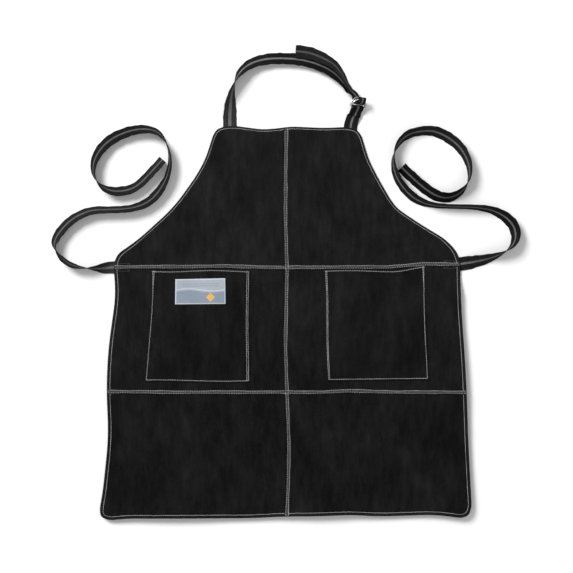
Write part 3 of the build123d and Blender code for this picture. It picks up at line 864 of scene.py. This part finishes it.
def stitches(name, rows, level, node, pitch=PITCH, radius=THREAD_RADIUS, material=THREAD_LOOK):
    """Stitches along rows of points, each a grain of thread that dips where it meets the next."""
    middles, headings = [], []
    for row in rows:
        points = resample(row, pitch)
        middles.append((points[1:] + points[:-1]) / 2)
        step = points[1:] - points[:-1]
        headings.append(step / np.linalg.norm(step, axis=1)[:, None])
    middle, heading = np.vstack(middles), np.vstack(headings)
    count = len(middle)
    turn = np.radians(unevenness.normal(0, 3.5, count))
    c, s = np.cos(turn)[:, None], np.sin(turn)[:, None]
    heading = heading * c + np.column_stack([-heading[:, 1], heading[:, 0]]) * s
    side = np.column_stack([-heading[:, 1], heading[:, 0]])
    middle = middle + side * unevenness.normal(0, 0.12 * MM, count)[:, None]
    verts = []
    for along, share, lift in GRAIN:
        centre = middle + heading * (pitch / 2) * along
        z = level(centre) + lift * radius / THREAD_RADIUS * MM
        for k in range(SIDES_OF_THREAD):
            angle = 2 * math.pi * k / SIDES_OF_THREAD
            flat = centre + side * (radius * share * math.cos(angle))
            verts.append(np.column_stack([flat, z + radius * share * math.sin(angle)]))
    verts = np.stack(verts, 1)
    per = len(GRAIN) * SIDES_OF_THREAD
    grain_faces = []
    for ring in range(len(GRAIN) - 1):
        for k in range(SIDES_OF_THREAD):
            a = ring * SIDES_OF_THREAD + k
            b = ring * SIDES_OF_THREAD + (k + 1) % SIDES_OF_THREAD
            grain_faces.append((a, b, b + SIDES_OF_THREAD, a + SIDES_OF_THREAD))
    grain_faces += [tuple(range(SIDES_OF_THREAD))[::-1], tuple(range(per - SIDES_OF_THREAD, per))]
    faces = [tuple(i * per + k for k in face) for i in range(count) for face in grain_faces]
    piece = new_mesh(name, swayed(verts.reshape(-1, 3)), faces, material)
    outward(piece)
    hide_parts(node)
    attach(piece, "apron")


def beside(line, offset):
    """A polyline moved sideways, to the left of its heading."""
    d = directions(line)
    return line + np.column_stack([-d[:, 1], d[:, 0]]) * offset


def on_leather(row, rim_gap=1.6 * MM):
    """The part of a row that lies inside the rim."""
    inside = inside_outline(row, RIM_LINE) & (segments_distance(row, RIM_SEGMENTS) > rim_gap)
    return row[inside]


def long_line(line, extra=12 * MM):
    """A polyline run on straight at both ends."""
    start, end = line[0] - line[1], line[-1] - line[-2]
    first = line[0] + start / np.linalg.norm(start) * extra
    last = line[-1] + end / np.linalg.norm(end) * extra
    return resample(np.vstack([first, line, last]), 2 * MM)


def hem_row():
    d = directions(RIM_LINE, closed=True)
    inward = np.column_stack([-d[:, 1], d[:, 0]]) * (1 if signed_area(RIM_LINE) > 0 else -1)
    inset = hem_inset(RIM_LINE)
    row = RIM_LINE + inward * inset[:, None]
    row = row[segments_distance(row, RIM_SEGMENTS) > inset * 0.97]
    return np.vstack([row, row[:1]])


def seam_stitches(name, line, node):
    rows = []
    middle = long_line(line)
    along = np.arange(len(middle)) * 2
    for offset in (-SEAM_ROW, SEAM_ROW):
        sway = 0.35 * np.sin(along / 19 + offset / MM) + 0.25 * np.sin(along / 7.3 + 2 * offset / MM)
        rows.append(on_leather(beside(middle, (offset + sway * MM)[:, None])))
    stitches(name, rows, leather_level, node)


def pocket_stitches(side):
    """Rows on three sides and the mouth, a second inner one, and two slanting ones at a corner."""
    place, width, height = pocket_shape(side)
    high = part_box(f"{side}_pocket")[1]
    near, twice = POCKET_ROW / width, POCKET_PAIR[side] / width
    low = 1 - POCKET_ROW / height
    mouth = MOUTH_ROW / height
    outer, inner, second = (near, 1 - near, 1 - twice) if side == "left" else (1 - near, near, twice)
    short = twice if side == "left" else 1 - twice
    lines = [
        [(outer, 0.004), (outer, low)], [(outer, low), (inner, low)], [(inner, low), (inner, 0.004)],
        [(second, 0.004), (second, low)], [(near, mouth), (1 - near, mouth)],
        [(short, 0.004), (outer, 0.16)], [(outer, mouth * 0.4), (short + (short - outer) * 0.8, mouth)],
    ]
    rows = []
    for a, b in lines:
        line = resample(np.array([a, b]), 0.01)
        x, y = place(line[:, 0], line[:, 1])
        rows.append(np.column_stack([x, y]))

    def level(points):
        down = (high.y - points[:, 1]) / height
        for _ in range(3):
            across = across_pocket(side, points[:, 0], down)
            _, y = place(across, down)
            down = down + (y - points[:, 1]) / height
        return pocket_level(side, np.clip(across, 0, 1), np.clip(down, 0, 1))[:, 2]

    stitches(f"{side}_pocket_stitches", rows, level, f"{side}_pocket_thread")


def tack_stitches(side):
    """A small boxed cross where the tie is sewn under the waist corner."""
    low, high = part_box(f"{side}_tie_tack")
    corners = np.array([(low.x, low.y), (high.x, low.y), (high.x, high.y), (low.x, high.y)])
    rows = [resample(corners[[i, (i + 1) % 4]], 1.5 * MM) for i in range(4)]
    rows += [resample(corners[[0, 2]], 1.5 * MM), resample(corners[[1, 3]], 1.5 * MM)]
    name = f"{side}_tie_tack"
    stitches(f"{name}_stitches", rows, leather_level, name, 2.6 * MM, 0.42 * MM, DARK_THREAD)


for side in SIDES:
    pocket(side)
    pocket_stitches(side)
    tack_stitches(side)
label()
stitches("hem_stitches", [hem_row()], leather_level, "hem_thread")
for seam_name, seam in (("centre", CENTRE_SEAM), ("upper", UPPER_SEAM), ("lower", LOWER_SEAM)):
    seam_stitches(f"{seam_name}_seam_stitches", seam, f"{seam_name}_seam_thread")


# --- webbing --------------------------------------------------------------------------
NECK_PALE = 125 * MM            # how far the neck strap's pale root reaches
# The neck strap's stripe turns fainter on its tail as painted shade, for a tail tilted away from the key
# light.
NECK_TAIL_SHADE = (440 * MM, 0.6)    # where its stripe turns fainter, and by how much
# Route points as x, y, roll, lift, width: millimetres and degrees, 0 flat and 90 on edge.
NECK_ROUTE = [
    (-103, 258, 0, 0, 25), (-103, 276, 0, 0, 25), (-103, 290, 0, 0, 25), (-103, 300, 5, 0, 25),
    (-102.5, 322, 28, 0, 25), (-100.5, 344, 58, 0, 25), (-95, 366, 90, 0, 25), (-84, 388, 125, 0, 25),
    (-65, 404, 142, 0, 25), (-36, 412.5, 150, 0, 25), (-3, 413.5, 153, 0, 25), (30, 411, 155, 0, 25),
    (58, 403.5, 156, 0, 25), (83, 392, 153, 0, 25), (98.5, 378, 143, 0, 24), (109.5, 362.5, 122, 0, 19),
    (118, 350.5, 138, 1.5, 15),
]
TAIL_ROUTE = [
    (120, 352.5, 48, 3.2, 15), (113, 366.5, 66, 1.0, 19), (103.5, 384.5, 58, 0.4, 24),
    (89, 402.5, 43, 0.6, 25), (66.7, 415, 26, 1.0, 25), (42, 425, 17, 1.6, 25), (18.5, 426.5, 15, 2.6, 25),
]
LEFT_TIE_ROUTE = [
    (-292, 28.5, 0), (-321, 27.7, -5, 0, 22), (-343, 25.6, -58), (-366, 25.5, -90), (-391, 29, -110),
    (-411, 41, -108), (-424, 58, -85), (-427, 76, -50), (-413, 98, -42), (-392, 118, -45),
    (-360, 133, -52), (-324, 133.5, -59), (-286, 135, -56), (-256, 145, -46), (-235, 164, -44),
    (-217, 194, -62), (-211.5, 226, -73), (-218, 256, -88), (-235, 278, -115), (-262, 283.5, -133),
    (-293, 278, -143), (-325, 263, -149), (-348, 238, -138), (-356.5, 208, -117), (-348, 184, -90),
    (-330, 169.5, -57), (-304, 166.5, -41), (-276, 174, -46), (-250, 200, -46), (-226.6, 226.3, -48),
]
RIGHT_TIE_ROUTE = [
    (292, 29.5, 0), (329, 34.6, 0), (352, 38.5, 30), (381, 45.5, 55), (411, 58.5, 90), (425, 76, 118),
    (424.5, 99, 136), (410, 119, 136), (381, 134.5, 118), (346, 139, 107), (305, 139.5, 105), (268, 142, 110),
    (240, 152.5, 125), (217.5, 173, 124), (202, 199, 116), (197, 228, 98), (205, 254, 72), (224, 273, 56),
    (249, 279.5, 54), (275, 280, 47), (303, 266.5, 44), (326, 246, 52), (340, 216, 69), (339.5, 188, 86),
    (325, 166, 116), (301, 154.5, 132), (275, 160, 139), (242, 185, 138), (214.2, 212.4, 135),
]
# The webbing's line through the rings, in the buckle's own x, y and z, with its width.
BUCKLE_LEAN, BUCKLE_ROLL = math.radians(6.0), math.radians(20.0)
STRAP_LOOP = [
    (-5.7, 21, -2.1, 11.5), (-2.5, 4.5, -2.1, 14), (2, 4.5, 16.7, 14), (3.5, 16.9, 16.7, 14),
    (1.5, 16.2, 10, 12.5), (-1, 9.6, -0.3, 12), (-4.7, 21, -0.3, 11.5),
]
TAB_LOOP = [
    (-2.6, -14, -2.55, 22), (-1.2, -6, -2.5, 21.5), (0, 1.4, -2.5, 21), (0, 3.0, 0, 21), (0, 0.7, 5.5, 21),
    (0, -1.9, 6.2, 21), (-0.7, -5.7, 4.2, 21.5), (-1.6, -11, -0.2, 22), (-2.8, -17, -0.72, 22.5),
]
TAB_FOOT = [
    (119.5, 258, 0.7, 25), (119.5, 278, 0.7, 25), (120.4, 290, 0.7, 25), (122.3, 297.5, 2.0, 24.6),
    (124.0, 302.0, 3.2, 24), (125.7, 306.0, 4.5, 23),
]

joint_places = {joint["name"]: joint["pos_m"] for joint in frame["joints"]}
BUCKLE_ORIGIN = Vector(joint_places["back_ring_swing"])
BUCKLE_TURN = Matrix.Rotation(-BUCKLE_LEAN, 3, "Z") @ Matrix.Rotation(BUCKLE_ROLL, 3, "Y")
BUCKLE_SIDE = -np.array(BUCKLE_TURN.col[0])


def rest_height(roll, width):
    """Height of the webbing's middle when its lower edge touches the table."""
    tilt = np.radians(roll)
    return width / 2 * np.abs(np.sin(tilt)) + WEBBING / 2 * np.abs(np.cos(tilt))


def lying(route):
    """Control points on the table: place, roll, width, and 0, as they aren't in the buckle."""
    points = []
    for x, y, roll, *more in route:
        lift, width = more if more else (0, 25)
        z = rest_height(roll, width * MM) + lift * MM
        points.append(((x * MM, y * MM, float(z)), roll, width * MM, 0.0))
    return points


def in_buckle(loop):
    """Control points of webbing threaded through the rings."""
    points = []
    for x, y, z, width in loop:
        place = BUCKLE_ORIGIN + BUCKLE_TURN @ Vector((x * MM, y * MM, z * MM))
        points.append((tuple(place), 0.0, width * MM, 1.0))
    return points


def spline_points(name, places):
    """Points along the smooth line that has these places as its control points."""
    curve = bpy.data.curves.new(name, "CURVE")
    curve.dimensions = "3D"
    spline = curve.splines.new("NURBS")
    spline.points.add(len(places) - 1)
    for point, place in zip(spline.points, places):
        point.co = (*place, 1)
    spline.order_u = 3
    spline.use_endpoint_u = True
    curve.resolution_u = 16
    holder = bpy.data.objects.new(name, curve)
    mesh = bpy.data.meshes.new_from_object(holder)
    points = np.array([v.co for v in mesh.vertices])
    bpy.data.meshes.remove(mesh)
    bpy.data.objects.remove(holder)
    bpy.data.curves.remove(curve)
    return points


def blurred(values, reach):
    """Values averaged along the webbing, ends kept."""
    kernel = np.exp(-np.linspace(-2, 2, 2 * reach + 1) ** 2)
    padded = np.concatenate([np.full(reach, values[0]), values, np.full(reach, values[-1])])
    return np.convolve(padded, kernel / kernel.sum(), "valid")


def ripple(run, phase):
    """How far a selvedge strays in or out along the webbing."""
    slow = np.sin(run / (3.6 * MM) + phase + 1.3 * np.sin(run / (21 * MM) + phase))
    return (0.42 * slow + 0.22 * np.sin(run / (1.9 * MM) + 2.2 * phase)) * MM


# The left half of the webbing's upper side: place across its width, and height over half its thickness.
PROFILE = [(-0.5, 0.0), (-0.497, 0.45), (-0.485, 0.9), (-0.46, 1.12), (-0.42, 1.0), (-0.3, 1.0), (-0.1, 1.0)]


def webbing(name, controls, pale_until, spacing=2.2 * MM, blur=4, faint=(0, 0)):
    """A length of webbing with rounded, slightly wavy selvedges, along a smooth line.

    Its root is pale up to pale_until, and faint is where its stripe turns fainter, and by how much; on the
    neck strap's tail this fading is painted shade.
    """
    places = np.array([c[0] for c in controls])
    phase = 10 * abs(controls[0][0][0])
    line = resample(spline_points(name, places), spacing)
    run = np.concatenate([[0], np.cumsum(np.linalg.norm(np.diff(line, axis=0), axis=1))])
    at, last = [], 0
    for i, place in enumerate(places):
        chord = np.linalg.norm(place - places[max(i - 1, 0)])
        window = slice(last, last + math.ceil(1.25 * chord / spacing) + 3)
        last += int(np.argmin(np.linalg.norm(line[window] - place, axis=1)))
        at.append(run[last] + i * 1e-9)
    roll = blurred(np.interp(run, at, [c[1] for c in controls]), blur)
    width = blurred(np.interp(run, at, [c[2] for c in controls]), 2)
    held = np.interp(run, at, [c[3] for c in controls])[:, None]
    heading = directions(line)
    flat = np.column_stack([-heading[:, 1], heading[:, 0], 0 * run])
    flat /= np.maximum(np.linalg.norm(flat, axis=1), 1e-6)[:, None]
    tilt = np.radians(roll)[:, None]
    side = flat * np.cos(tilt) + np.array([0, 0, 1]) * np.sin(tilt)
    side = side * (1 - held) + BUCKLE_SIDE * held
    side -= heading * np.sum(side * heading, axis=1)[:, None]
    side /= np.linalg.norm(side, axis=1)[:, None]
    up = np.cross(side, heading)
    reach = width / 2 * np.abs(side[:, 2]) + WEBBING / 2 * np.abs(up[:, 2])
    line[:, 2] = np.maximum(line[:, 2], reach)
    upper = PROFILE + [(-x, z) for x, z in reversed(PROFILE)]
    section = upper + [(x, -z) for x, z in reversed(upper[1:-1])]
    free = smooth(30 * MM, 50 * MM, run)
    strays = ripple(run, phase) * free, ripple(run, phase + 2.6) * free
    waver = 0.3 * MM * np.sin(run / (5.3 * MM) + phase) * free
    root = 0.7 * (1 - smooth(pale_until * 0.7, pale_until, run))
    patchy = 0.03 * (1 + np.sin(run / (17 * MM) + phase) * np.sin(run / (41 * MM)))
    verts, uvs, pale = [], [], []
    for x, z in section:
        pale.append(np.maximum(root, patchy + (0.13 if z < 0 else 0)))
        out = x * width + strays[x > 0] * (2 * x) * abs(2 * x)
        lift = z * WEBBING / 2 + waver * (2 * x) ** 2 * (1 - np.abs(side[:, 2]))
        verts.append(line - side * out[:, None] + up * lift[:, None])
        uvs.append(np.column_stack([np.full(len(run), x + 0.5), run]))
    count, per = len(line), len(section)
    verts = np.stack(verts, 1)
    verts[:, :, 2] += np.maximum(0.05 * MM - verts[:, :, 2].min(axis=1), 0)[:, None]
    verts = verts.reshape(-1, 3)
    uvs = np.stack(uvs, 1).reshape(-1, 2)
    faces = []
    for i in range(count - 1):
        for k in range(per):
            a, b = i * per + k, i * per + (k + 1) % per
            faces.append((a, a + per, b + per, b))
    faces.append(tuple(range(per)))
    faces.append(tuple(range(count * per - 1, (count - 1) * per - 1, -1)))
    piece = new_mesh(name, verts, faces, WEBBING_LOOK)
    outward(piece)
    weave_uv(piece, uvs)
    set_attribute(piece, "pale", np.stack(pale, 1).ravel())
    # On the neck strap's tail the fainter stripe is painted shade.
    faint_from, loss = faint
    stripe = 1 - loss * smooth(faint_from, faint_from + 20 * MM, run)
    set_attribute(piece, "stripe", np.repeat(stripe, per))
    return piece, line, float(run[-1])


def waist_tie(side, route, pale_until, loss):
    piece, line, _ = webbing(f"{side}_waist_tie", lying(route), pale_until, faint=(pale_until, loss))
    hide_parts(f"{side}_tie_end", f"{side}_tie")
    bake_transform(piece)


def neck_loop():
    route = lying(NECK_ROUTE) + in_buckle(STRAP_LOOP) + lying(TAIL_ROUTE)
    strap, line, _ = webbing("neck_strap_webbing", route, NECK_PALE, 1.6 * MM, faint=NECK_TAIL_SHADE)
    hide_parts("neck_strap_end", "neck_strap")
    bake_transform(strap)
    foot = [((x * MM, y * MM, z * MM), 0.0, width * MM, 0.0) for x, y, z, width in TAB_FOOT]
    tab, _, length = webbing("buckle_tab_webbing", foot + in_buckle(TAB_LOOP), 1 * MM, 1.2 * MM, 2)
    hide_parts("buckle_tab_end", "buckle_tab")
    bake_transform(tab)


# Each tie's pale root length in metres, and how much fainter its stripe turns beyond it.
waist_tie("left", LEFT_TIE_ROUTE, 60 * MM, 0.4)
waist_tie("right", RIGHT_TIE_ROUTE, 20 * MM, 0.1)
neck_loop()

for ring in ("back_d_ring", "front_d_ring"):
    ring_object = frame["nodes"][ring]
    ring_object.data.materials.clear()
    ring_object.data.materials.append(STEEL)


# --- camera, light and floor ----------------------------------------------------------
FIELD = 1.060                   # width of ground that the camera sees
VIEW_CENTRE = (0.0018, -0.0078)
CAMERA_HEIGHT = 3.2
FLOOR = 6                       # half the floor's side


def stage():
    scene = bpy.context.scene
    scene.view_settings.view_transform = "Standard"
    camera = bpy.data.objects.new("camera", bpy.data.cameras.new("camera"))
    camera.data.lens = camera.data.sensor_width * CAMERA_HEIGHT / FIELD
    camera.data.clip_end = 20
    camera.location = (*VIEW_CENTRE, CAMERA_HEIGHT)
    scene.collection.objects.link(camera)
    scene.camera = camera

    paper = Nodes("floor")
    paper.shader.inputs["Base Color"].default_value = (0.86, 0.86, 0.86, 1)
    paper.shader.inputs["Roughness"].default_value = 0.9
    paper.shader.inputs["Specular IOR Level"].default_value = 0.1
    corners = [(x * FLOOR, y * FLOOR, 0) for x, y in ((-1, -1), (1, -1), (1, 1), (-1, 1))]
    floor = new_mesh("floor", corners, [(0, 1, 2, 3)], paper.material)

    world = bpy.data.worlds.new("studio")
    world.use_nodes = True
    sky = world.node_tree.nodes["Background"]
    sky.inputs["Color"].default_value = (1, 1, 1, 1)
    sky.inputs["Strength"].default_value = 0.45
    scene.world = world

    def lamp(name, place, size, power):
        light = bpy.data.lights.new(name, "AREA")
        light.size = size
        light.energy = power
        lamp_object = bpy.data.objects.new(name, light)
        lamp_object.location = place
        lamp_object.rotation_euler = (-Vector(place)).to_track_quat("-Z", "Y").to_euler()
        scene.collection.objects.link(lamp_object)

    lamp("key", (-3.3, 3.3, 4.6), 2.6, 485)
    lamp("fill", (2.4, -1.6, 4.0), 3.0, 30)


stage()
